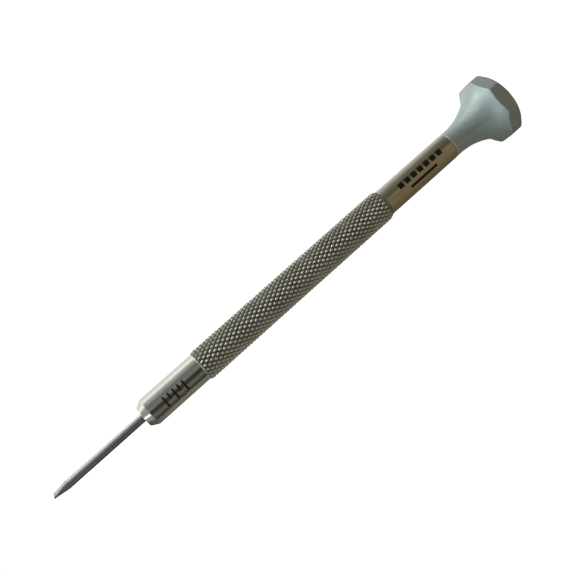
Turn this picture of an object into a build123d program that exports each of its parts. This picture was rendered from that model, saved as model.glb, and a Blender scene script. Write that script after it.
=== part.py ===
"""Watchmaker screwdriver: clamped blade, knurled one-piece body and a free-turning eight-sided head.

Millimetres. The tool lies along X: the blade's tip is at -X, the head at +X, and the head's lowest flat
is on Z = 0. Lengths along the tool are counted from the blade's tip ("stations").
"""
import os
from math import acos, cos, degrees, radians

from build123d import *

# ---------------------------------------------------------------- driving dimensions
TOOL_LENGTH = 91.6
HEAD_ACROSS_FLATS = 11.0
HEAD_TURNED_DIAMETER = 11.75
HEAD_FLATS = 8

# blade
BLADE_DIAMETER = 1.40
BLADE_EXPOSED = 16.4
BLADE_INSIDE = 20.0
WEDGE_LENGTH = 2.8
WEDGE_HOLLOW = 0.05
WEDGE_TURN = 22.0
TIP_THICKNESS = 0.24
CLAMP_FLAT_DEPTH = 0.15
CLAMP_FLAT_LENGTH = 17.0

# handle body
NOSE_DIAMETER = 4.7
NOSE_FRONT_DIAMETER = 3.4
NOSE_CHAMFER_LENGTH = 1.15
NOSE_END = 27.3
GRIP_DIAMETER = 5.3
GRIP_END = 64.8
RING_LENGTH = 0.35
SHANK_DIAMETER = 4.48
SHANK_START = 65.8
SHANK_END = 80.3
BLADE_BORE_CLEARANCE = 0.02
SPIGOT_DIAMETER = 2.6
SPIGOT_END = 86.9

# clamp screw in the nose, turned this far round the tool from straight up
SCREW_STATION = 22.6
SCREW_TURN = 135.0
SCREW_DIAMETER = 1.4
SCREW_LENGTH = 1.6
THREAD_GAP = 0.01
SLOT_WIDTH = 0.28
SLOT_DEPTH = 0.4

# swivel head
HEAD_FRONT_GAP = 0.08
NECK_DIAMETER = 4.4
NECK_EDGE = 0.08
FLARE_START = 81.25
FLARE_FIRST_RADIUS = 12.3
FLARE_FIRST_TURN = 29.3
FLARE_SECOND_RADIUS = 5.1
END_CHAMFER_RADIAL = 0.5
END_CHAMFER_AXIAL = 0.35
NECK_BORE_DIAMETER = 3.3
POCKET_RELIEF_DIAMETER = 4.1
POCKET_RELIEF = 0.15
DISC_THICKNESS = 0.9
DISH_EDGE_RADIUS = 4.6
DISH_DEPTH = 0.45

# ball bearing 2 x 5 x 2.3
BEARING_BORE = 2.0
BEARING_OUTSIDE = 5.0
BEARING_WIDTH = 2.3
BALL_DIAMETER = 0.8
BALL_PITCH_DIAMETER = 3.5
BALL_COUNT = 7
GROOVE_RADIUS = 0.42
INNER_LAND_DIAMETER = 2.9
OUTER_LAND_DIAMETER = 4.1
CAGE_INSIDE = 3.15
CAGE_OUTSIDE = 3.85
CAGE_WIDTH = 1.4
CAGE_POCKET_RADIUS = 0.43
RACE_EDGE = 0.06

# axle screw and bush
AXLE_HEAD_DIAMETER = 2.8
AXLE_HEAD_HEIGHT = 0.8
AXLE_THREAD_DIAMETER = 1.6
AXLE_THREAD_LENGTH = 4.0
AXLE_SHOULDER_GAP = 0.02
AXLE_POINT = 0.15
AXLE_SLOT_WIDTH = 0.4
AXLE_SLOT_DEPTH = 0.35
BUSH_START = 80.7
BUSH_LENGTH = 5.0
BUSH_BORE_CLEARANCE = 0.03

# ---------------------------------------------------------------- frame of the tool
AXIS_HEIGHT = HEAD_ACROSS_FLATS / 2
TIP_X = -TOOL_LENGTH / 2
TOOL_AXIS = Axis((TIP_X, 0, AXIS_HEIGHT), (1, 0, 0))
# turned profiles are drawn here: x is the station, y is the radius
PROFILE = Plane(origin=(TIP_X, 0, AXIS_HEIGHT), x_dir=(1, 0, 0), z_dir=(0, -1, 0))


def across(station):
    """Plane square to the tool at a station, its normal towards the head and its y axis up."""
    return Plane(origin=(TIP_X + station, 0, AXIS_HEIGHT), x_dir=(0, 1, 0), z_dir=(1, 0, 0))


def save(part, name):
    part.label = name
    export_step(part, f"parts/{name}.step")


os.makedirs("parts", exist_ok=True)

# stations that follow from the sizes above
nose_start = BLADE_EXPOSED
head_front = SHANK_END + HEAD_FRONT_GAP
bearing_start = SPIGOT_END
bearing_middle = bearing_start + BEARING_WIDTH / 2
bearing_end = bearing_start + BEARING_WIDTH
disc_start = TOOL_LENGTH - DISH_DEPTH - DISC_THICKNESS
blade_radius = BLADE_DIAMETER / 2
nose_radius = NOSE_DIAMETER / 2
bore_radius = blade_radius + BLADE_BORE_CLEARANCE
screw_radius = SCREW_DIAMETER / 2

# the clamp screw's plane: origin on the tool's axis, normal out through the nose wall
screw_plane = Plane(origin=(TIP_X + SCREW_STATION, 0, AXIS_HEIGHT), x_dir=(1, 0, 0), z_dir=(0, 0, 1)).rotated(
    (SCREW_TURN, 0, 0)
)

# ---------------------------------------------------------------- handle body
with BuildPart() as handle_body:
    with BuildSketch(PROFILE):
        with BuildLine():
            Polyline(
                (nose_start, 0),
                (nose_start, NOSE_FRONT_DIAMETER / 2),
                (nose_start + NOSE_CHAMFER_LENGTH, nose_radius),
                (NOSE_END, nose_radius),
                (NOSE_END + RING_LENGTH, GRIP_DIAMETER / 2),
                (GRIP_END, GRIP_DIAMETER / 2),
                (SHANK_START, SHANK_DIAMETER / 2),
                (SHANK_END, SHANK_DIAMETER / 2),
                (SHANK_END, SPIGOT_DIAMETER / 2),
                (SPIGOT_END, SPIGOT_DIAMETER / 2),
                (SPIGOT_END, 0),
                close=True,
            )
        make_face()
    revolve(axis=TOOL_AXIS)
    shank_edge = (
        handle_body.edges()
        .filter_by(GeomType.CIRCLE)
        .filter_by(lambda e: abs(e.radius - SHANK_DIAMETER / 2) < 1e-3)
        .sort_by(Axis.X)[-1]
    )
    chamfer(shank_edge, 0.12)
    # blade bore, blind
    with BuildSketch(across(nose_start)):
        Circle(bore_radius)
    extrude(amount=BLADE_INSIDE + 0.5, mode=Mode.SUBTRACT)
    # tapped hole for the clamp screw, from the bore out through the nose
    with BuildSketch(screw_plane):
        Circle(screw_radius)
    extrude(amount=NOSE_DIAMETER, mode=Mode.SUBTRACT)
    # tapped hole for the axle screw
    with BuildSketch(across(SPIGOT_END)):
        Circle(AXLE_THREAD_DIAMETER / 2)
    extrude(amount=-(AXLE_THREAD_LENGTH + 0.5), mode=Mode.SUBTRACT)
save(handle_body.part, "handle_body")

# ---------------------------------------------------------------- blade
with BuildPart() as blade:
    with BuildSketch(across(0)):
        Circle(blade_radius)
    extrude(amount=BLADE_EXPOSED + BLADE_INSIDE)
    chamfer(blade.faces().sort_by(Axis.X)[-1].edges(), 0.1)
    # two hollow-ground faces leave the wedge; the plane's normal runs along its edge
    wedge_plane = Plane(origin=(TIP_X, 0, AXIS_HEIGHT), x_dir=(1, 0, 0), z_dir=(0, 0, 1))
    with BuildSketch(wedge_plane.rotated((WEDGE_TURN, 0, 0))):
        for side in (1, -1):
            tip = (0, side * TIP_THICKNESS / 2)
            root = (WEDGE_LENGTH, side * blade_radius)
            middle = (
                WEDGE_LENGTH / 2,
                side * ((TIP_THICKNESS / 2 + blade_radius) / 2 - WEDGE_HOLLOW),
            )
            with BuildLine():
                ThreePointArc(tip, middle, root)
                Polyline(root, (WEDGE_LENGTH, side * 2), (-1, side * 2), (-1, side * TIP_THICKNESS / 2), tip)
            make_face()
    extrude(amount=BLADE_DIAMETER, both=True, mode=Mode.SUBTRACT)
    # flat along the clamped end, where the clamp screw bears
    with BuildSketch(screw_plane.offset(blade_radius - CLAMP_FLAT_DEPTH)):
        with Locations((BLADE_EXPOSED + BLADE_INSIDE - SCREW_STATION - CLAMP_FLAT_LENGTH / 2, 0)):
            Rectangle(CLAMP_FLAT_LENGTH, BLADE_DIAMETER)
    extrude(amount=CLAMP_FLAT_DEPTH * 2, mode=Mode.SUBTRACT)
save(blade.part, "blade")

# ---------------------------------------------------------------- clamp screw
screw_bottom = blade_radius - CLAMP_FLAT_DEPTH + THREAD_GAP
with BuildPart() as blade_screw:
    with BuildSketch(screw_plane.offset(screw_bottom)):
        Circle(screw_radius - THREAD_GAP)
    extrude(amount=SCREW_LENGTH)
    outward = Axis(screw_plane.origin, screw_plane.z_dir)
    chamfer(blade_screw.faces().sort_by(outward)[0].edges(), 0.15)
    chamfer(blade_screw.faces().sort_by(outward)[-1].edges(), 0.06)
    with BuildSketch(screw_plane.offset(screw_bottom + SCREW_LENGTH)):
        Rectangle(SCREW_DIAMETER * 2, SLOT_WIDTH, rotation=35)
    extrude(amount=-SLOT_DEPTH, mode=Mode.SUBTRACT)
save(blade_screw.part, "blade_screw")

# ---------------------------------------------------------------- swivel head
neck_radius = NECK_DIAMETER / 2
rim_radius = HEAD_TURNED_DIAMETER / 2
pocket_radius = BEARING_OUTSIDE / 2
# the dish is one sphere through the shell and its end disc
dish_radius = (DISH_EDGE_RADIUS**2 + DISH_DEPTH**2) / (2 * DISH_DEPTH)
dish_centre = (TIP_X + TOOL_LENGTH - DISH_DEPTH + dish_radius, 0, AXIS_HEIGHT)
# how far the second flare arc turns before it reaches the rim
first_arc_rise = FLARE_FIRST_RADIUS * (1 - cos(radians(FLARE_FIRST_TURN)))
second_arc_rise = rim_radius - neck_radius - first_arc_rise
flare_end_turn = degrees(acos(cos(radians(FLARE_FIRST_TURN)) - second_arc_rise / FLARE_SECOND_RADIUS))

with BuildPart() as head_shell:
    with BuildSketch(PROFILE):
        with BuildLine():
            first = JernArc((FLARE_START, neck_radius), (1, 0), FLARE_FIRST_RADIUS, FLARE_FIRST_TURN)
            second = JernArc(first @ 1, first % 1, FLARE_SECOND_RADIUS, flare_end_turn - FLARE_FIRST_TURN)
            Polyline(
                first @ 0,
                (head_front, neck_radius),
                (head_front, 0),
                (TOOL_LENGTH, 0),
                (TOOL_LENGTH, rim_radius - END_CHAMFER_RADIAL),
                (TOOL_LENGTH - END_CHAMFER_AXIAL, rim_radius),
                second @ 1,
            )
        make_face()
    revolve(axis=TOOL_AXIS)
    # the eight flats
    with BuildSketch(across(head_front)):
        RegularPolygon(HEAD_ACROSS_FLATS / 2, HEAD_FLATS, major_radius=False, rotation=180 / HEAD_FLATS)
    extrude(amount=TOOL_LENGTH, mode=Mode.INTERSECT)
    chamfer(head_shell.edges().sort_by(Axis.X)[0], NECK_EDGE)
    # bore for the bush, bearing pocket with its relief
    with BuildSketch(across(head_front)):
        Circle(NECK_BORE_DIAMETER / 2)
    extrude(amount=bearing_end - head_front, mode=Mode.SUBTRACT)
    with BuildSketch(across(bearing_start)):
        Circle(pocket_radius)
    extrude(amount=TOOL_LENGTH - bearing_start, mode=Mode.SUBTRACT)
    with BuildSketch(across(bearing_start)):
        Circle(POCKET_RELIEF_DIAMETER / 2)
    extrude(amount=-POCKET_RELIEF, mode=Mode.SUBTRACT)
    # finger dish
    with Locations(dish_centre):
        Sphere(dish_radius, mode=Mode.SUBTRACT)
save(head_shell.part, "head_shell")

# ---------------------------------------------------------------- end disc
with BuildPart() as end_disc:
    with BuildSketch(across(disc_start)):
        Circle(pocket_radius)
    extrude(amount=TOOL_LENGTH - disc_start)
    with Locations(dish_centre):
        Sphere(dish_radius, mode=Mode.SUBTRACT)
save(end_disc.part, "end_disc")

# ---------------------------------------------------------------- neck bush
with BuildPart() as neck_bush:
    with BuildSketch(across(BUSH_START)):
        Circle(NECK_BORE_DIAMETER / 2)
        Circle(SPIGOT_DIAMETER / 2 + BUSH_BORE_CLEARANCE, mode=Mode.SUBTRACT)
    extrude(amount=BUSH_LENGTH)
    chamfer(neck_bush.edges().filter_by(GeomType.CIRCLE).group_by(SortBy.RADIUS)[0], 0.08)
save(neck_bush.part, "neck_bush")

# ---------------------------------------------------------------- ball bearing
ball_orbit = BALL_PITCH_DIAMETER / 2


def race_ring(inside, outside):
    """Bearing ring between two diameters, with the ball groove turned out of it."""
    with BuildPart() as ring:
        with BuildSketch(across(bearing_start)):
            Circle(outside / 2)
            Circle(inside / 2, mode=Mode.SUBTRACT)
        extrude(amount=BEARING_WIDTH)
        chamfer(ring.edges().filter_by(GeomType.CIRCLE), RACE_EDGE)
        with BuildSketch(PROFILE):
            with Locations((bearing_middle, ball_orbit)):
                Circle(GROOVE_RADIUS)
        revolve(axis=TOOL_AXIS, mode=Mode.SUBTRACT)
    return ring.part


save(race_ring(BEARING_BORE, INNER_LAND_DIAMETER), "inner_race")
save(race_ring(OUTER_LAND_DIAMETER, BEARING_OUTSIDE), "outer_race")

with BuildPart() as bearing_balls:
    with Locations(across(bearing_middle)):
        with PolarLocations(ball_orbit, BALL_COUNT):
            Sphere(BALL_DIAMETER / 2)
save(bearing_balls.part, "bearing_balls")

with BuildPart() as bearing_cage:
    with BuildSketch(across(bearing_middle - CAGE_WIDTH / 2)):
        Circle(CAGE_OUTSIDE / 2)
        Circle(CAGE_INSIDE / 2, mode=Mode.SUBTRACT)
    extrude(amount=CAGE_WIDTH)
    with Locations(across(bearing_middle)):
        with PolarLocations(ball_orbit, BALL_COUNT):
            Cylinder(CAGE_POCKET_RADIUS, CAGE_OUTSIDE - CAGE_INSIDE, rotation=(0, 90, 0), mode=Mode.SUBTRACT)
save(bearing_cage.part, "bearing_cage")

# ---------------------------------------------------------------- axle screw
thread_radius = AXLE_THREAD_DIAMETER / 2 - THREAD_GAP
thread_start = SPIGOT_END - AXLE_THREAD_LENGTH
shoulder_radius = BEARING_BORE / 2 - AXLE_SHOULDER_GAP
with BuildPart() as axle_screw:
    with BuildSketch(PROFILE):
        with BuildLine():
            Polyline(
                (thread_start, 0),
                (thread_start, thread_radius - AXLE_POINT),
                (thread_start + AXLE_POINT, thread_radius),
                (SPIGOT_END, thread_radius),
                (SPIGOT_END, shoulder_radius),
                (bearing_end, shoulder_radius),
                (bearing_end, AXLE_HEAD_DIAMETER / 2),
                (bearing_end + AXLE_HEAD_HEIGHT, AXLE_HEAD_DIAMETER / 2),
                (bearing_end + AXLE_HEAD_HEIGHT, 0),
                close=True,
            )
        make_face()
    revolve(axis=TOOL_AXIS)
    chamfer(axle_screw.faces().sort_by(Axis.X)[-1].edges(), 0.12)
    with BuildSketch(across(bearing_end + AXLE_HEAD_HEIGHT)):
        Rectangle(AXLE_HEAD_DIAMETER * 2, AXLE_SLOT_WIDTH)
    extrude(amount=-AXLE_SLOT_DEPTH, mode=Mode.SUBTRACT)
save(axle_screw.part, "axle_screw")
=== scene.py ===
"""Looks of the watchmaker screwdriver: knurled plated body, polished blade, satin eight-sided head."""

from math import acos, ceil, cos, hypot, pi, radians, sin, sqrt

import bmesh
import bpy
from mathutils import Matrix, Vector


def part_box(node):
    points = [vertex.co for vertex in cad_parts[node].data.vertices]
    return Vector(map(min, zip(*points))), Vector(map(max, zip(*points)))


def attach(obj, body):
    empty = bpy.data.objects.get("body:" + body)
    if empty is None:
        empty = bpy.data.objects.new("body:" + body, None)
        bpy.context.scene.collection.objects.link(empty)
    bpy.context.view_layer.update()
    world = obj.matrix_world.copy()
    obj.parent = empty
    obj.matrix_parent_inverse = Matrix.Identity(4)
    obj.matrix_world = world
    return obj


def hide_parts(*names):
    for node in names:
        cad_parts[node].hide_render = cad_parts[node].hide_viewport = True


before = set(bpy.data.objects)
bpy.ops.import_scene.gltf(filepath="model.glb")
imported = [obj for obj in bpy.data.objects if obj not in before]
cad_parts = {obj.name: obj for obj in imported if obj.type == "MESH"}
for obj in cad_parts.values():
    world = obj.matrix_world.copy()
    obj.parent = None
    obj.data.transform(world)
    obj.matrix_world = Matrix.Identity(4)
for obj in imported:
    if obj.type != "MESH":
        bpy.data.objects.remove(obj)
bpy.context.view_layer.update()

# ---------------------------------------------------------------- sizes, in millimetres
MM = 0.001
blade_low, blade_high = (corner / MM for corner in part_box("blade"))
body_low, body_high = (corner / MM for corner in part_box("handle_body"))
head_low, head_high = (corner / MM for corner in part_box("head_shell"))

TIP_X = blade_low.x
AXIS_Z = (head_low.z + head_high.z) / 2
NOSE_FACE = body_low.x - TIP_X
SPIGOT_END = body_high.x - TIP_X
HEAD_FRONT = head_low.x - TIP_X
TOOL_LENGTH = head_high.x - TIP_X
BLADE_RADIUS = (blade_high.z - blade_low.z) / 2
BLADE_LENGTH = blade_high.x - blade_low.x
GRIP_RADIUS = (body_high.z - body_low.z) / 2
HEAD_APOTHEM = (head_high.z - head_low.z) / 2

# turned profile of the body, the same as the CAD's: stations count from the blade's tip
NOSE_RADIUS = 2.35
NOSE_FRONT_RADIUS = 1.7
NOSE_CHAMFER_LENGTH = 1.15
NOSE_END = 27.3
RING_LENGTH = 0.35
GRIP_END = 64.8
SHANK_START = 65.8
SHANK_RADIUS = 2.24
SHANK_END = 80.3
SHANK_CHAMFER = 0.12
SPIGOT_RADIUS = 1.3
BLADE_BORE_RADIUS = BLADE_RADIUS + 0.02
BLADE_BORE_DEPTH = 20.5

# diamond knurl: two crossed sets of helical grooves that leave pyramids
KNURL_STARTS = 22
KNURL_AXIAL_PITCH = 1.25
KNURL_DEPTH = 0.26
KNURL_STEPS = 10
KNURL_ROUND = 0.4
KNURL_BLEND = 0.1
KNURL_ROOT = GRIP_RADIUS - KNURL_DEPTH
AROUND = KNURL_STARTS * KNURL_STEPS


def place(station, radius, angle):
    """Point on the tool in metres. The angle turns from straight up towards -Y."""
    return (
        (TIP_X + station) * MM,
        -radius * sin(angle) * MM,
        (AXIS_Z + radius * cos(angle)) * MM,
    )


# ---------------------------------------------------------------- mesh helpers
def link_mesh(name, vertices, faces):
    mesh = bpy.data.meshes.new(name)
    mesh.from_pydata(vertices, [], faces)
    mesh.validate()
    piece = bpy.data.objects.new(name, mesh)
    bpy.context.scene.collection.objects.link(piece)
    fix = bmesh.new()
    fix.from_mesh(mesh)
    bmesh.ops.recalc_face_normals(fix, faces=fix.faces)
    fix.to_mesh(mesh)
    fix.free()
    return piece


def lathe(name, rings, angles, loop=False):
    """Closed mesh from rings of (station, radius) that may change round the tool.

    Each ring is a function of the angle. With loop=True the last ring joins the first; otherwise both
    ends close on the tool's axis. Quads are split along their lower diagonal, so grooves stay crisp.
    """
    count = len(angles)
    points = [[ring(angle) for angle in angles] for ring in rings]
    vertices = [place(s, r, a) for ring in points for (s, r), a in zip(ring, angles)]
    faces = []
    ring_total = len(rings)
    for i in range(ring_total if loop else ring_total - 1):
        here, there = i, (i + 1) % ring_total
        for j in range(count):
            k = (j + 1) % count
            a, b, c, d = here * count + j, here * count + k, there * count + k, there * count + j
            first = points[here][j][1] + points[there][k][1]
            second = points[here][k][1] + points[there][j][1]
            if abs(first - second) < 1e-6:
                faces.append((a, b, c, d))
            elif first < second:
                faces.extend([(a, b, c), (a, c, d)])
            else:
                faces.extend([(a, b, d), (b, c, d)])
    if not loop:
        for ring_index in (0, ring_total - 1):
            station = points[ring_index][0][0]
            centre = len(vertices)
            vertices.append(place(station, 0, 0))
            start = ring_index * count
            faces.extend((start + j, start + (j + 1) % count, centre) for j in range(count))
    return link_mesh(name, vertices, faces)


def turned(points):
    """Rings of a plain turned profile."""
    return [lambda angle, p=point: p for point in points]


def soft_corner(before, corner, after, steps):
    """Points of a small rounded corner between two points of a profile."""
    found = []
    for i in range(steps + 1):
        t = i / steps
        u = 1 - t
        found.append(tuple(u * u * p + 2 * u * t * q + t * t * r for p, q, r in zip(before, corner, after)))
    return found


def towards(start, end, distance):
    """Point at a distance from start on the way to end."""
    length = hypot(end[0] - start[0], end[1] - start[1])
    share = distance / length
    return (start[0] + (end[0] - start[0]) * share, start[1] + (end[1] - start[1]) * share)


# the most of a wall that a rounded corner may take, and how many times its reach the close ring stands off
ROUND_SHARE = 0.3
SUPPORT_REACH = 1.5


def rounded(points, radius):
    """Profile with every inner corner rounded, and a close ring on each side that keeps long walls flat."""
    found = [points[0]]
    for before, corner, after in zip(points, points[1:], points[2:]):
        lengths = (
            hypot(corner[0] - before[0], corner[1] - before[1]),
            hypot(after[0] - corner[0], after[1] - corner[1]),
        )
        room = min(radius, *(ROUND_SHARE * length for length in lengths))
        found.append(towards(corner, before, SUPPORT_REACH * room))
        found += soft_corner(towards(corner, before, room), corner, towards(corner, after, room), 3)
        found.append(towards(corner, after, SUPPORT_REACH * room))
    return found + [points[-1]]


def smooth(piece, angle):
    """Smooth shading that keeps the edges that turn by more than the angle, in degrees."""
    piece.data.shade_smooth()
    piece.data.set_sharp_from_angle(angle=radians(angle))


even_angles = [2 * pi * j / AROUND for j in range(AROUND)]

# ---------------------------------------------------------------- knurled body
# radius of the small rounded edges, and how far an extra ring stands off the knurl's ends
EDGE = 0.05
SUPPORT = 0.02
# clamp screw's hole: its gap round the screw, and the cylinder that cuts it
SCREW_HOLE_GAP = 0.01
SCREW_CUTTER_LENGTH = 3.0
SCREW_CUTTER_SIDES = 48


def ridge(phase):
    """Height of one set of ridges: a sharp groove, straight sides, a rounded crest."""
    fall = 2 * abs(phase - round(phase))
    if fall > KNURL_ROUND:
        return 1 - fall
    return 1 - KNURL_ROUND / 2 - fall * fall / (2 * KNURL_ROUND)


def knurl_radius(station, angle):
    around = KNURL_STARTS * angle / (2 * pi)
    along = (station - NOSE_END) / KNURL_AXIAL_PITCH
    first, second = ridge(around + along), ridge(around - along)
    blend = KNURL_BLEND * min(1, 4 * min(first, second))
    height = (first + second - sqrt((first - second) ** 2 + blend**2)) / 2
    highest = 1 - KNURL_ROUND / 2 - KNURL_BLEND / 2
    return KNURL_ROOT + KNURL_DEPTH * min(1, max(0, height) / highest)


def grip_limit(station):
    """Radius of the cones that cut the knurl's two ends, and the grip between them."""
    if station < NOSE_END + RING_LENGTH:
        return NOSE_RADIUS + (GRIP_RADIUS - NOSE_RADIUS) * (station - NOSE_END) / RING_LENGTH
    if station > GRIP_END:
        share = (station - GRIP_END) / (SHANK_START - GRIP_END)
        return GRIP_RADIUS + (SHANK_RADIUS - GRIP_RADIUS) * share
    return GRIP_RADIUS


def grip_ring(station):
    return lambda angle: (station, min(knurl_radius(station, angle), grip_limit(station)))


def make_body():
    front = rounded(
        [
            (NOSE_FACE + BLADE_BORE_DEPTH, BLADE_BORE_RADIUS),
            (NOSE_FACE, BLADE_BORE_RADIUS),
            (NOSE_FACE, NOSE_FRONT_RADIUS),
            (NOSE_FACE + NOSE_CHAMFER_LENGTH, NOSE_RADIUS),
            (NOSE_END - SUPPORT, NOSE_RADIUS),
        ],
        EDGE,
    ) + [(NOSE_END, NOSE_RADIUS)]
    back = rounded(
        [
            (SHANK_START + SUPPORT, SHANK_RADIUS),
            (SHANK_END - SHANK_CHAMFER, SHANK_RADIUS),
            (SHANK_END, SHANK_RADIUS - SHANK_CHAMFER),
            (SHANK_END, SPIGOT_RADIUS),
            (SPIGOT_END, SPIGOT_RADIUS),
            (SPIGOT_END, SPIGOT_RADIUS / 2),
        ],
        EDGE,
    )
    step = KNURL_AXIAL_PITCH / KNURL_STEPS
    stations = [NOSE_END + step * i for i in range(1, ceil((SHANK_START - NOSE_END) / step))]
    cone_root = NOSE_END + RING_LENGTH * (KNURL_ROOT - NOSE_RADIUS) / (GRIP_RADIUS - NOSE_RADIUS)
    stations = sorted(stations + [cone_root, NOSE_END + RING_LENGTH, GRIP_END])
    middle = [grip_ring(s) for s in stations] + turned([(SHANK_START, SHANK_RADIUS)])
    rings = turned(front) + middle + turned(back)
    piece = lathe("knurled_body", rings, even_angles)
    cut_screw_hole(piece)
    smooth(piece, 50)
    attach(piece, "handle")
    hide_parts("handle_body")
    return piece


def cut_screw_hole(piece):
    """Opens the clamp screw's hole through the nose wall, a little wider than the screw."""
    low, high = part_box("blade_screw")
    middle = (low + high) / 2
    axis_point = Vector((middle.x, 0, AXIS_Z * MM))
    outward = (middle - axis_point).normalized()
    radius = (high.x - low.x) / 2 + SCREW_HOLE_GAP * MM
    centre = Matrix.Translation(axis_point + outward * (SCREW_CUTTER_LENGTH / 2) * MM)
    cutter = bmesh.new()
    bmesh.ops.create_cone(
        cutter,
        cap_ends=True,
        segments=SCREW_CUTTER_SIDES,
        radius1=radius,
        radius2=radius,
        depth=SCREW_CUTTER_LENGTH * MM,
        matrix=centre @ outward.to_track_quat("Z", "Y").to_matrix().to_4x4(),
    )
    mesh = bpy.data.meshes.new("screw_hole")
    cutter.to_mesh(mesh)
    cutter.free()
    tool = bpy.data.objects.new("screw_hole", mesh)
    bpy.context.scene.collection.objects.link(tool)
    cut = piece.modifiers.new("screw_hole", "BOOLEAN")
    cut.operation = "DIFFERENCE"
    cut.solver = "EXACT"
    cut.object = tool
    bpy.context.view_layer.update()
    done = bpy.data.meshes.new_from_object(piece.evaluated_get(bpy.context.evaluated_depsgraph_get()))
    piece.modifiers.clear()
    piece.data = done
    bpy.data.objects.remove(tool)
    bpy.data.meshes.remove(mesh)


# ---------------------------------------------------------------- blade
WEDGE_LENGTH = 2.8
WEDGE_HOLLOW = 0.05
WEDGE_TURN = radians(22)
TIP_THICKNESS = 0.24
CLAMP_FLAT_START = 19.4
CLAMP_FLAT_HEIGHT = 0.55
CLAMP_ANGLE = radians(135)
# steps of the blade's mesh, the close rings by the rod's ends, and the length of the flat's front step
BLADE_AROUND = 160
WEDGE_STEPS = 24
ROD_SUPPORT = 0.1
FLAT_STEP = 0.01


def blade_point(station, angle):
    """Point of the blade's skin: the round rod, cut by the wedge faces and the clamp flat."""
    x, y, z = (c / MM for c in place(station, BLADE_RADIUS, angle))
    if station < WEDGE_LENGTH:
        share = station / WEDGE_LENGTH
        hollow = 4 * WEDGE_HOLLOW * share * (1 - share)
        half = TIP_THICKNESS / 2 + (BLADE_RADIUS - TIP_THICKNESS / 2) * share - hollow
        off_edge = y * cos(WEDGE_TURN) + (z - AXIS_Z) * sin(WEDGE_TURN)
        excess = off_edge - max(-half, min(half, off_edge))
        y -= excess * cos(WEDGE_TURN)
        z -= excess * sin(WEDGE_TURN)
    if station > CLAMP_FLAT_START:
        out = -y * sin(CLAMP_ANGLE) + (z - AXIS_Z) * cos(CLAMP_ANGLE)
        excess = max(0, out - CLAMP_FLAT_HEIGHT)
        y += excess * sin(CLAMP_ANGLE)
        z -= excess * cos(CLAMP_ANGLE)
    return (x * MM, y * MM, z * MM)


def make_blade():
    angles = [2 * pi * j / BLADE_AROUND for j in range(BLADE_AROUND)]
    wedge = [WEDGE_LENGTH * i / WEDGE_STEPS for i in range(WEDGE_STEPS + 1)]
    rod = [WEDGE_LENGTH + ROD_SUPPORT, 8, 12, NOSE_FACE, CLAMP_FLAT_START, CLAMP_FLAT_START + FLAT_STEP, 28]
    stations = wedge + rod + [BLADE_LENGTH - ROD_SUPPORT, BLADE_LENGTH]
    vertices = [blade_point(s, a) for s in stations for a in angles]
    rings = [[i * BLADE_AROUND + j for j in range(BLADE_AROUND)] for i in range(len(stations))]
    faces = [
        (here[j], here[(j + 1) % BLADE_AROUND], there[(j + 1) % BLADE_AROUND], there[j])
        for here, there in zip(rings, rings[1:])
        for j in range(BLADE_AROUND)
    ]
    faces += [tuple(rings[0]), tuple(rings[-1])]
    piece = link_mesh("steel_blade", vertices, faces)
    smooth(piece, 20)
    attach(piece, "blade")
    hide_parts("blade")
    return piece


# ---------------------------------------------------------------- swivel head
NECK_RADIUS = 2.2
NECK_EDGE = 0.08
FLARE_START = 81.25
FLARE_FIRST_RADIUS = 12.3
FLARE_FIRST_TURN = radians(29.3)
FLARE_SECOND_RADIUS = 5.1
HEAD_TURNED_RADIUS = 5.875
END_CHAMFER_RADIAL = 0.5
END_CHAMFER_AXIAL = 0.35
DISH_EDGE_RADIUS = 4.6
DISH_DEPTH = 0.45
DISC_THICKNESS = 0.9
NECK_BORE_RADIUS = 1.65
POCKET_RADIUS = 2.5
POCKET_START = SPIGOT_END
DISC_RADIUS = 2.49
RIM_ROUND = 0.2
RIM_CORNER_BLEND = 0.06
END_ROUND = 0.12
FLARE_STEPS = 30
FLAT_STEPS = 5
FACETS = 8
STEPS_PER_FACET = 24

facet_turn = 2 * pi / FACETS
head_angles = [
    facet_turn * (facet + 0.5 * sin(pi * (step / STEPS_PER_FACET - 0.5)))
    for facet in range(FACETS)
    for step in range(STEPS_PER_FACET)
]
flare_joint = (
    FLARE_START + FLARE_FIRST_RADIUS * sin(FLARE_FIRST_TURN),
    NECK_RADIUS + FLARE_FIRST_RADIUS * (1 - cos(FLARE_FIRST_TURN)),
)
dish_radius = (DISH_EDGE_RADIUS**2 + DISH_DEPTH**2) / (2 * DISH_DEPTH)


def rim_radius(angle):
    """Distance of the eight-sided rim from the axis, its corners turned round."""
    from_middle = (angle + facet_turn / 2) % facet_turn - facet_turn / 2
    flat = HEAD_APOTHEM / cos(from_middle)
    return (flat + HEAD_TURNED_RADIUS - sqrt((flat - HEAD_TURNED_RADIUS) ** 2 + RIM_CORNER_BLEND**2)) / 2


def flare_point(turn):
    """Point of the trumpet where its skin has turned this far from the axis."""
    if turn < FLARE_FIRST_TURN:
        return (
            FLARE_START + FLARE_FIRST_RADIUS * sin(turn),
            NECK_RADIUS + FLARE_FIRST_RADIUS * (1 - cos(turn)),
        )
    return (
        flare_joint[0] + FLARE_SECOND_RADIUS * (sin(turn) - sin(FLARE_FIRST_TURN)),
        flare_joint[1] + FLARE_SECOND_RADIUS * (cos(FLARE_FIRST_TURN) - cos(turn)),
    )


def flare_end_turn(radius):
    return acos(cos(FLARE_FIRST_TURN) - (radius - flare_joint[1]) / FLARE_SECOND_RADIUS)


def dish_station(radius):
    return TOOL_LENGTH - DISH_DEPTH + dish_radius - sqrt(dish_radius**2 - radius**2)


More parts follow.
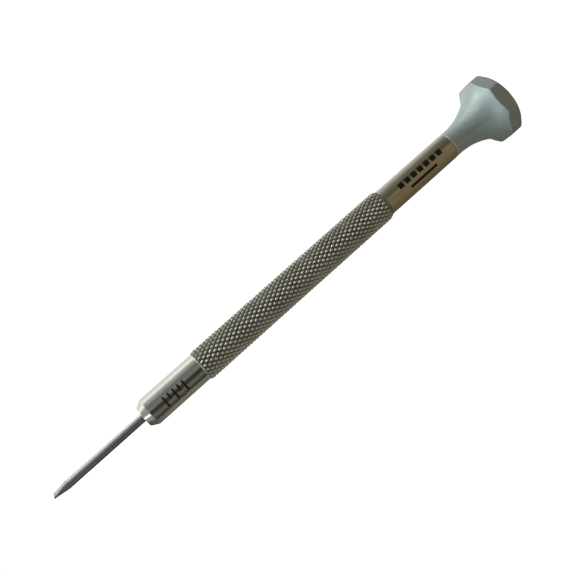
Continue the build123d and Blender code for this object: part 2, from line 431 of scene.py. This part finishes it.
def head_profile(angle):
    """Outer profile of the head at one angle, from the front bore to the bearing pocket."""
    rim = rim_radius(angle)
    last = flare_end_turn(rim)
    corner = flare_point(last)
    before = last - RIM_ROUND / FLARE_SECOND_RADIUS
    flare = [flare_point(before * i / FLARE_STEPS) for i in range(FLARE_STEPS + 1)]
    chamfer_radius = HEAD_TURNED_RADIUS - END_CHAMFER_RADIAL
    chamfer_start = (TOOL_LENGTH - END_CHAMFER_AXIAL * (rim - chamfer_radius) / END_CHAMFER_RADIAL, rim)
    chamfer_end = (TOOL_LENGTH, chamfer_radius)
    dish_edge = (TOOL_LENGTH, DISH_EDGE_RADIUS)
    pocket_edge = (dish_station(POCKET_RADIUS), POCKET_RADIUS)
    dish = [(dish_station(r), r) for r in (4.3, 4.0, 3.7, 3.4, 3.1, 2.8, POCKET_RADIUS + 0.06)]
    points = [(HEAD_FRONT, NECK_BORE_RADIUS), (HEAD_FRONT, NECK_RADIUS - NECK_EDGE)]
    points += [(HEAD_FRONT + NECK_EDGE, NECK_RADIUS)]
    points += flare[:-1]
    points += soft_corner(flare[-1], corner, (corner[0] + RIM_ROUND, rim), 6)
    flat_start, flat_end = corner[0] + RIM_ROUND, chamfer_start[0] - END_ROUND
    points += [(flat_start + (flat_end - flat_start) * i / FLAT_STEPS, rim) for i in range(1, FLAT_STEPS)]
    points += soft_corner((flat_end, rim), chamfer_start, towards(chamfer_start, chamfer_end, END_ROUND), 4)
    back_face = (TOOL_LENGTH, chamfer_radius - END_ROUND)
    points += soft_corner(towards(chamfer_end, chamfer_start, END_ROUND), chamfer_end, back_face, 4)
    points += soft_corner((TOOL_LENGTH, DISH_EDGE_RADIUS + 0.15), dish_edge, dish[0], 4)[:-1]
    points += dish
    points += [(pocket_edge[0] + 0.05, POCKET_RADIUS), (POCKET_START, POCKET_RADIUS)]
    points += [(POCKET_START, NECK_BORE_RADIUS)]
    return points


def make_head():
    profiles = {angle: head_profile(angle) for angle in head_angles}
    total = len(profiles[head_angles[0]])
    rings = [lambda angle, i=i: profiles[angle][i] for i in range(total)]
    piece = lathe("octagon_head", rings, head_angles, loop=True)
    smooth(piece, 24)
    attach(piece, "head")
    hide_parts("head_shell")
    return piece


def make_disc():
    start = TOOL_LENGTH - DISH_DEPTH - DISC_THICKNESS
    dish = [(dish_station(r), r) for r in (0.02, 0.5, 1.0, 1.5, 2.0, 2.3, DISC_RADIUS - 0.05)]
    side = [(dish_station(DISC_RADIUS) - 0.06, DISC_RADIUS), (start, DISC_RADIUS), (start, 0.02)]
    piece = lathe("finger_disc", turned(dish + side), even_angles)
    smooth(piece, 30)
    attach(piece, "head")
    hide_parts("end_disc")
    return piece


# ---------------------------------------------------------------- materials
class Graph:
    """Short calls for the nodes that a material or the world uses."""

    def __init__(self, tree):
        self.nodes, self.links = tree.nodes, tree.links

    def feed(self, socket, value):
        if isinstance(value, bpy.types.NodeSocket):
            self.links.new(value, socket)
        else:
            socket.default_value = value

    def math(self, operation, *values, clamp=False):
        node = self.nodes.new("ShaderNodeMath")
        node.operation = operation
        node.use_clamp = clamp
        for socket, value in zip(node.inputs, values):
            self.feed(socket, value)
        return node.outputs[0]

    def split(self, vector):
        node = self.nodes.new("ShaderNodeSeparateXYZ")
        self.links.new(vector, node.inputs[0])
        return node.outputs

    def span(self, value, low, high, to_low=0.0, to_high=1.0):
        """Smooth step of the value between low and high."""
        node = self.nodes.new("ShaderNodeMapRange")
        node.interpolation_type = "SMOOTHSTEP"
        names = ("Value", "From Min", "From Max", "To Min", "To Max")
        for name, number in zip(names, (value, low, high, to_low, to_high)):
            self.feed(node.inputs[name], number)
        return node.outputs[0]

    def mix(self, share, first, second, how="MIX"):
        node = self.nodes.new("ShaderNodeMix")
        node.data_type = "RGBA"
        node.blend_type = how
        for index, value in ((0, share), (6, first), (7, second)):
            self.feed(node.inputs[index], value)
        return node.outputs[2]

    def camera_sees(self, shown, lit, output):
        """Shows one shader to the camera, while reflections and light come from the other."""
        choice = self.nodes.new("ShaderNodeMixShader")
        path = self.nodes.new("ShaderNodeLightPath")
        self.links.new(path.outputs["Is Camera Ray"], choice.inputs[0])
        self.links.new(lit, choice.inputs[1])
        self.links.new(shown, choice.inputs[2])
        self.links.new(choice.outputs[0], self.nodes[output].inputs["Surface"])


class Look(Graph):
    """One procedural material, with its coordinates in millimetres."""

    def __init__(self, name, metallic=1.0):
        self.material = bpy.data.materials.new(name)
        self.material.use_nodes = True
        super().__init__(self.material.node_tree)
        self.shader = self.nodes["Principled BSDF"]
        self.shader.inputs["Metallic"].default_value = metallic
        place_node = self.nodes.new("ShaderNodeTexCoord")
        scale = self.nodes.new("ShaderNodeVectorMath")
        scale.operation = "SCALE"
        scale.inputs["Scale"].default_value = 1 / MM
        self.links.new(place_node.outputs["Object"], scale.inputs[0])
        self.point = scale.outputs[0]
        self.x, self.y, self.z = self.split(self.point)
        self.station = self.math("SUBTRACT", self.x, TIP_X)
        up = self.math("SUBTRACT", self.z, AXIS_Z)
        side = self.math("MULTIPLY", self.y, -1.0)
        squares = self.math("ADD", self.math("POWER", up, 2.0), self.math("POWER", side, 2.0))
        self.radius = self.math("SQRT", squares)
        self.angle = self.math("ARCTAN2", side, up)

    def inside(self, value, low, high, soft):
        """1 between low and high, 0 outside, with soft edges."""
        rise = self.span(value, low - soft, low + soft)
        fall = self.span(value, high - soft, high + soft, 1.0, 0.0)
        return self.math("MULTIPLY", rise, fall)

    def stretched(self, along, across):
        """Coordinates with their own scale along the tool and across it."""
        join = self.nodes.new("ShaderNodeCombineXYZ")
        for socket, part, scale in zip(join.inputs, (self.x, self.y, self.z), (along, across, across)):
            self.links.new(self.math("MULTIPLY", part, scale), socket)
        return join.outputs[0]

    def noise(self, vector, scale, detail, rough):
        node = self.nodes.new("ShaderNodeTexNoise")
        self.links.new(vector, node.inputs["Vector"])
        node.inputs["Scale"].default_value = scale
        node.inputs["Detail"].default_value = detail
        node.inputs["Roughness"].default_value = rough
        return node.outputs["Fac"]

    def bump(self, height, distance, strength, below=None):
        node = self.nodes.new("ShaderNodeBump")
        node.inputs["Strength"].default_value = strength
        node.inputs["Distance"].default_value = distance * MM
        self.links.new(height, node.inputs["Height"])
        if below is not None:
            self.links.new(below, node.inputs["Normal"])
        return node.outputs["Normal"]

    def clear_for_camera(self, glow):
        """Adds light that only the camera sees, so the floor is plain white and doesn't flood the metal."""
        glow_node = self.nodes.new("ShaderNodeEmission")
        glow_node.inputs["Strength"].default_value = glow
        total = self.nodes.new("ShaderNodeAddShader")
        self.links.new(self.shader.outputs[0], total.inputs[0])
        self.links.new(glow_node.outputs[0], total.inputs[1])
        self.camera_sees(total.outputs[0], self.shader.outputs[0], "Material Output")

    def finish(self, colour, roughness, normal=None, metallic=None):
        values = {"Base Color": colour, "Roughness": roughness, "Normal": normal, "Metallic": metallic}
        for name, value in values.items():
            if value is not None:
                self.feed(self.shader.inputs[name], value)
        return self.material


def shade(*channels):
    return (*channels, 1.0)


# plain marks: each nose bar's station and its two ends in degrees round the tool, then the shank's
# row of blocks and the line below it
NOSE_BARS = [
    (20.3, -9.0, 37.0),
    (21.2, -9.0, 18.0),
    (22.1, -9.0, 37.0),
    (23.0, -9.0, 18.0),
    (23.9, -9.0, 37.0),
]
NOSE_BAR_HALF_WIDTH = 0.16
BLOCKS_START = 68.3
BLOCK_PITCH = 1.40
BLOCK_COUNT = 7
BLOCK_EDGES = (0.14, 0.86)
BLOCK_ENDS = (-20.0, 4.0)
LINE_STATIONS = (BLOCKS_START + 1.9, BLOCKS_START + 7.7)
LINE_ENDS = (20.0, 32.0)


def printed_marks(look):
    """Plain bars on the nose, and on the shank a row of plain blocks with a fine line below it."""
    turn = look.math("MULTIPLY", look.angle, 180 / pi)

    def patch(along, stations, edge, ends, end_edge):
        return look.math("MULTIPLY", look.inside(along, *stations, edge), look.inside(turn, *ends, end_edge))

    total = None
    for station, low, high in NOSE_BARS:
        sides = (station - NOSE_BAR_HALF_WIDTH, station + NOSE_BAR_HALF_WIDTH)
        bar = patch(look.station, sides, 0.04, (low, high), 1.2)
        total = bar if total is None else look.math("MAXIMUM", total, bar)
    along = look.math("SUBTRACT", look.station, BLOCKS_START)
    share = look.math("FRACT", look.math("DIVIDE", along, BLOCK_PITCH))
    blocks = patch(share, BLOCK_EDGES, 0.05, BLOCK_ENDS, 1.5)
    row = look.inside(look.station, BLOCKS_START, BLOCKS_START + BLOCK_COUNT * BLOCK_PITCH, 0.04)
    line = patch(look.station, LINE_STATIONS, 0.05, LINE_ENDS, 1.2)
    total = look.math("MAXIMUM", total, look.math("MULTIPLY", blocks, row))
    return look.math("MAXIMUM", total, line, clamp=True)


def plated_look():
    """Nickel plate: turned rings on the plain parts, knurl crests painted lighter (wear and painted
    highlight), knurl grooves painted darker (grime and painted shade), dark printed marks.
    """
    look = Look("nickel_plate")
    knurl_zone = look.inside(look.station, NOSE_END + 0.1, SHANK_START - 0.2, 0.15)
    plain_zone = look.math("SUBTRACT", 1.0, knurl_zone)
    crest = look.span(look.radius, KNURL_ROOT + 0.02, GRIP_RADIUS - 0.03)
    groove = look.math("MULTIPLY", look.math("SUBTRACT", 1.0, crest), knurl_zone)

    rings = look.noise(look.stretched(22.0, 0.35), 1.0, 4.0, 0.7)
    patches = look.noise(look.point, 0.45, 4.0, 0.6)
    specks = look.noise(look.point, 9.0, 2.0, 0.5)
    smears = look.noise(look.stretched(0.35, 1.4), 1.0, 5.0, 0.6)

    clean = look.mix(patches, shade(0.66, 0.655, 0.62), shade(0.73, 0.725, 0.69))
    # crests painted lighter: partly wear of the plate, partly a painted highlight on each pyramid's top
    worn_and_highlit = look.mix(look.math("MULTIPLY", crest, knurl_zone), clean, shade(0.90, 0.89, 0.84))
    # grooves painted darker: partly grime, partly painted shade in the knurl's recesses
    grime_and_shade = look.math("MULTIPLY", groove, look.span(patches, 0.25, 0.75, 0.55, 0.95))
    grimed_and_shaded = look.mix(grime_and_shade, worn_and_highlit, shade(0.16, 0.15, 0.12))
    marks = printed_marks(look)
    colour = look.mix(marks, grimed_and_shaded, shade(0.055, 0.048, 0.038))

    base = look.span(smears, 0.3, 0.75, 0.13, 0.21)
    speckled = look.math("ADD", base, look.math("MULTIPLY", look.span(specks, 0.62, 0.72), 0.05))
    rough = look.math("ADD", speckled, look.math("MULTIPLY", groove, 0.28))
    rough = look.math("ADD", rough, look.math("MULTIPLY", marks, 0.35), clamp=True)

    # the plate is worn a little duller all over the knurl
    shine = look.math("SUBTRACT", 1.0, look.math("MULTIPLY", knurl_zone, 0.16))
    turned_rings = look.bump(look.math("MULTIPLY", rings, plain_zone), 0.004, 0.55)
    engraved = look.bump(look.math("SUBTRACT", 1.0, marks), 0.004, 0.5, turned_rings)
    return look.finish(colour, rough, look.bump(specks, 0.003, 0.35, engraved), shine)


def steel_look():
    """Hardened blade steel: polished round shaft with fine ring scratches, wedge faces ground crosswise."""
    look = Look("blade_steel")
    rings = look.noise(look.stretched(30.0, 0.5), 1.0, 4.0, 0.7)
    grind = look.noise(look.stretched(26.0, 0.4), 1.0, 3.0, 0.8)
    patches = look.noise(look.point, 0.8, 4.0, 0.6)
    wedge = look.span(look.station, WEDGE_LENGTH - 0.25, WEDGE_LENGTH + 0.05, 1.0, 0.0)
    edge = look.span(look.station, 0.0, 0.5, 1.0, 0.0)
    colour = look.mix(patches, shade(0.60, 0.61, 0.62), shade(0.68, 0.69, 0.70))
    colour = look.mix(look.math("MULTIPLY", wedge, 0.55), colour, shade(0.42, 0.42, 0.42))
    colour = look.mix(look.math("MULTIPLY", edge, 0.5), colour, shade(0.30, 0.29, 0.28))
    rough = look.span(patches, 0.3, 0.75, 0.14, 0.22)
    rough = look.math("ADD", rough, look.math("MULTIPLY", wedge, 0.14))
    strength = look.math("ADD", look.math("MULTIPLY", rings, 0.6), look.math("MULTIPLY", wedge, grind))
    return look.finish(colour, rough, look.bump(strength, 0.003, 0.4))


# stations between which the flare's look turns into the flats' look, whose colour is painted shade
FLATS_LOOK = (88.9, 89.3)


def alloy_look():
    """Satin anodised aluminium: very fine bead-blasted grain, a smoother face on the eight flats, and on the
    flats a bluer, darker copy of the colour that is painted shade.
    """
    look = Look("satin_aluminium")
    grain = look.noise(look.point, 22.0, 3.0, 0.6)
    cloud = look.noise(look.point, 0.35, 4.0, 0.55)
    rub = look.noise(look.stretched(1.2, 0.5), 1.0, 4.0, 0.6)
    colour = look.mix(cloud, shade(0.53, 0.625, 0.64), shade(0.59, 0.69, 0.70))
    rough = look.span(rub, 0.3, 0.7, 0.40, 0.47)
    flats = look.span(look.station, *FLATS_LOOK)
    rough = look.math("SUBTRACT", rough, look.math("MULTIPLY", flats, 0.04))
    # the flats get a darker, bluer copy of the same alloy colour: painted shade for how they are lit
    colour = look.mix(look.math("MULTIPLY", flats, 0.85), colour, shade(0.50, 0.58, 0.66))
    metallic = look.span(flats, 0.0, 1.0, 0.85, 0.88)
    return look.finish(colour, rough, look.bump(grain, 0.004, 0.45), metallic)


def inner_look(name, dark, light, rough, ring_scale):
    """Turned small part: colour drift, fine rings, smeared oil."""
    look = Look(name)
    rings = look.noise(look.stretched(ring_scale, 0.6), 1.0, 3.0, 0.7)
    cloud = look.noise(look.point, 1.3, 4.0, 0.6)
    oil = look.noise(look.point, 0.7, 3.0, 0.5)
    colour = look.mix(cloud, shade(*dark), shade(*light))
    roughness = look.span(oil, 0.3, 0.7, rough * 0.75, rough * 1.25)
    return look.finish(colour, roughness, look.bump(rings, 0.004, 0.6))


def dress(piece, material):
    piece.data.materials.clear()
    piece.data.materials.append(material)


# ---------------------------------------------------------------- the pieces
body = make_body()
blade = make_blade()
head = make_head()
disc = make_disc()

alloy = alloy_look()
dress(body, plated_look())
dress(blade, steel_look())
dress(head, alloy)
dress(disc, alloy)

# inner parts: the material, its dark and light tone, roughness and ring scale, and the nodes that have it
INNER_LOOKS = [
    ("bearing_steel", (0.55, 0.56, 0.58), (0.66, 0.67, 0.68), 0.12, 16.0,
     ("inner_race", "outer_race", "bearing_balls")),
    ("screw_steel", (0.30, 0.31, 0.33), (0.42, 0.43, 0.44), 0.28, 12.0, ("blade_screw",)),
    ("sintered_bronze", (0.42, 0.25, 0.12), (0.56, 0.36, 0.19), 0.42, 9.0, ("neck_bush",)),
    ("cage_brass", (0.62, 0.44, 0.18), (0.74, 0.56, 0.27), 0.30, 10.0, ("bearing_cage",)),
    ("axle_steel", (0.40, 0.41, 0.42), (0.52, 0.53, 0.54), 0.24, 14.0, ("axle_screw",)),
]
for *values, node_names in INNER_LOOKS:
    material = inner_look(*values)
    for node_name in node_names:
        dress(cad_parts[node_name], material)

# ---------------------------------------------------------------- floor
# the tool rests on the head's rim and on the nose's shoulder, so its floor leans a little
head_rest_x = TIP_X + flare_point(flare_end_turn(HEAD_APOTHEM))[0]
nose_rest_x = TIP_X + NOSE_FACE + NOSE_CHAMFER_LENGTH
lean = (AXIS_Z - NOSE_RADIUS) / (head_rest_x - nose_rest_x)
FLOOR_HALF = 700
FLOOR_ROUGHNESS = 0.4
FLOOR_CAMERA_GLOW = 0.95


def floor_height(x):
    return (head_rest_x - x) * lean


floor = link_mesh(
    "floor",
    [
        (x * FLOOR_HALF * MM, y * FLOOR_HALF * MM, floor_height(x * FLOOR_HALF) * MM)
        for x, y in ((-1, -1), (1, -1), (1, 1), (-1, 1))
    ],
    [(0, 1, 2, 3)],
)


def floor_look():
    """Pale paper to the camera. What the metal reflects is painted light on the floor: a glow that is
    brighter on the far side than on the near one, with a dark painted shadow of the tool on the near side
    and under the tip.
    """
    look = Look("pale_table", metallic=0.0)
    grain = look.noise(look.point, 1.5, 3.0, 0.6)
    far_side = look.span(look.y, -3.0, 2.0)
    head_end = look.span(look.x, 0.0, 30.0)
    under_tip = look.span(look.x, -33.0, -26.0)
    far_away = look.math("MULTIPLY", head_end, look.span(look.y, 10.0, 30.0))
    near_far = look.mix(head_end, shade(0.80, 0.85, 0.80), shade(0.60, 0.61, 0.54))
    far_glow = look.mix(far_away, near_far, shade(0.27, 0.265, 0.21))
    # the near side's dim glow is a painted shadow of the tool
    near_glow = look.mix(head_end, shade(0.15, 0.145, 0.12), shade(0.055, 0.04, 0.015))
    # dark patch under the blade's tip: painted shadow
    near_glow = look.mix(under_tip, shade(0.02, 0.02, 0.02), near_glow)
    look.shader.inputs["Emission Strength"].default_value = 1.0
    look.feed(look.shader.inputs["Emission Color"], look.mix(far_side, near_glow, far_glow))
    look.clear_for_camera(FLOOR_CAMERA_GLOW)
    return look.finish(look.mix(grain, shade(0.16, 0.158, 0.15), shade(0.18, 0.178, 0.17)), FLOOR_ROUGHNESS)


dress(floor, floor_look())

# ---------------------------------------------------------------- camera
CAMERA_DISTANCE = 114.7
CAMERA_TILT = radians(11.03)
AXIS_IN_VIEW = radians(41.63)
CAMERA_LENS = 46.875
CAMERA_SENSOR = 36
CAMERA_AIM = (-0.65, 0.065)
aim = Vector((*CAMERA_AIM, AXIS_Z)) * MM
back = Vector((-sin(CAMERA_TILT), 0, cos(CAMERA_TILT)))
along_tool = Vector((cos(CAMERA_TILT), 0, sin(CAMERA_TILT)))
level = Vector((0, 1, 0))
right = along_tool * cos(AXIS_IN_VIEW) - level * sin(AXIS_IN_VIEW)
upward = along_tool * sin(AXIS_IN_VIEW) + level * cos(AXIS_IN_VIEW)

camera_data = bpy.data.cameras.new("camera")
camera_data.lens = CAMERA_LENS
camera_data.sensor_width = CAMERA_SENSOR
camera_data.clip_start = 0.001
camera_data.clip_end = 10
camera = bpy.data.objects.new("camera", camera_data)
bpy.context.scene.collection.objects.link(camera)
facing = Matrix((right, upward, back)).transposed().to_4x4()
camera.matrix_world = Matrix.Translation(aim + back * CAMERA_DISTANCE * MM) @ facing
bpy.context.scene.camera = camera


# ---------------------------------------------------------------- light
WORLD_STRENGTH = 1.6
# light round the tool, towards the tip, the middle and the head: degrees from straight up towards -Y,
# then the colour
TIP_SLICE = [
    (-104, (1.10, 1.19, 1.12)),
    (-88, (1.00, 1.09, 1.02)),
    (-66, (0.36, 0.39, 0.36)),
    (-41, (0.22, 0.23, 0.215)),
    (-18, (0.21, 0.225, 0.21)),
    (20, (0.17, 0.19, 0.185)),
    (80, (0.21, 0.23, 0.225)),
    (112, (0.32, 0.35, 0.34)),
]
MIDDLE_SLICE = [
    (-104, (0.62, 0.66, 0.61)),
    (-90, (0.92, 0.99, 0.92)),
    (-76, (0.42, 0.45, 0.41)),
    (-58, (0.22, 0.235, 0.215)),
    (-34, (0.105, 0.11, 0.105)),
    (-4, (0.14, 0.142, 0.13)),
    (10, (0.022, 0.022, 0.021)),
    (26, (0.022, 0.022, 0.021)),
    (45, (0.10, 0.095, 0.085)),
    (78, (0.03, 0.028, 0.018)),
    (110, (0.10, 0.09, 0.06)),
]
HEAD_SLICE = [
    (-120, (0.40, 0.39, 0.32)),
    (-96, (0.19, 0.18, 0.135)),
    (-72, (0.105, 0.095, 0.068)),
    (-34, (0.07, 0.06, 0.035)),
    (-14, (0.055, 0.048, 0.027)),
    (-8, (0.14, 0.112, 0.062)),
    (40, (0.13, 0.10, 0.05)),
    (90, (0.11, 0.08, 0.035)),
    (120, (0.14, 0.11, 0.07)),
]
# brighter openings: their direction, the angles off it in degrees where they start to fade and end, their
# colour
WINDOWS = [
    ((-0.55, 0.83, 0.00), 6, 18, (0.45, 0.48, 0.46)),
    ((-0.26, 0.76, 0.60), 2, 8, (1.4, 1.48, 1.44)),
    ((-0.90, -0.24, 0.36), 4, 9, (1.2, 1.28, 1.25)),
]
# how far along the tool a direction points (its X) where one slice turns into the next
TIP_TO_MIDDLE = (-0.6, -0.05)
MIDDLE_TO_HEAD = (0.1, 0.42)

# weak lamps that fill the metal's matt parts: name, place, power
LAMP_SIZE = (180, 60)
LAMP_TINT = (1.0, 1.0, 0.97)
LAMPS = [("far_side_light", (-60, 310, 20), 1.4), ("near_side_light", (-60, -310, 20), 0.6)]


def soft_light(name, place_mm, watts):
    """Rectangular lamp that points at the tool and doesn't show in its reflections."""
    data = bpy.data.lights.new(name, "AREA")
    data.shape = "RECTANGLE"
    data.size, data.size_y = (side * MM for side in LAMP_SIZE)
    data.energy = watts
    data.color = LAMP_TINT
    lamp = bpy.data.objects.new(name, data)
    bpy.context.scene.collection.objects.link(lamp)
    lamp.location = Vector(place_mm) * MM
    lamp.rotation_euler = (-lamp.location).to_track_quat("-Z", "Y").to_euler()
    lamp.visible_glossy = False


def slice_ramp(graph, around, stops):
    """Colours round the tool, from one slice's list."""
    node = graph.nodes.new("ShaderNodeValToRGB")
    ramp = node.color_ramp
    ramp.interpolation = "EASE"
    while len(ramp.elements) < len(stops):
        ramp.elements.new(0.5)
    for element, (turn, colour) in zip(ramp.elements, stops):
        element.position = 0.5 + turn / 360
        element.color = shade(*colour)
    graph.links.new(around, node.inputs[0])
    return node.outputs[0]


def studio_world():
    """Soft surroundings: bright and cool on the far side, dim overhead and near, warm by the head.

    The camera itself sees plain white.
    """
    world = bpy.data.worlds.new("studio")
    bpy.context.scene.world = world
    world.use_nodes = True
    graph = Graph(world.node_tree)
    direction = graph.nodes.new("ShaderNodeTexCoord").outputs["Generated"]
    along, across, up = graph.split(direction)
    turn = graph.math("ARCTAN2", graph.math("MULTIPLY", across, -1.0), up)
    around = graph.math("ADD", graph.math("DIVIDE", turn, 2 * pi), 0.5)
    slices = (TIP_SLICE, MIDDLE_SLICE, HEAD_SLICE)
    tip_side, middle, head_side = (slice_ramp(graph, around, stops) for stops in slices)
    light = graph.mix(graph.span(along, *TIP_TO_MIDDLE), tip_side, middle)
    light = graph.mix(graph.span(along, *MIDDLE_TO_HEAD), light, head_side)
    for towards_window, inner, outer, colour in WINDOWS:
        dot = graph.nodes.new("ShaderNodeVectorMath")
        dot.operation = "DOT_PRODUCT"
        graph.links.new(direction, dot.inputs[0])
        dot.inputs[1].default_value = Vector(towards_window).normalized()
        share = graph.span(dot.outputs["Value"], cos(radians(outer)), cos(radians(inner)))
        light = graph.mix(share, light, shade(*colour), "ADD")
    backdrop = graph.nodes["Background"]
    backdrop.inputs["Strength"].default_value = WORLD_STRENGTH
    graph.links.new(light, backdrop.inputs["Color"])
    plain = graph.nodes.new("ShaderNodeBackground")
    plain.inputs["Color"].default_value = shade(1, 1, 1)
    graph.camera_sees(plain.outputs[0], backdrop.outputs[0], "World Output")


studio_world()
for lamp_values in LAMPS:
    soft_light(*lamp_values)

bpy.context.scene.view_settings.view_transform = "Standard"
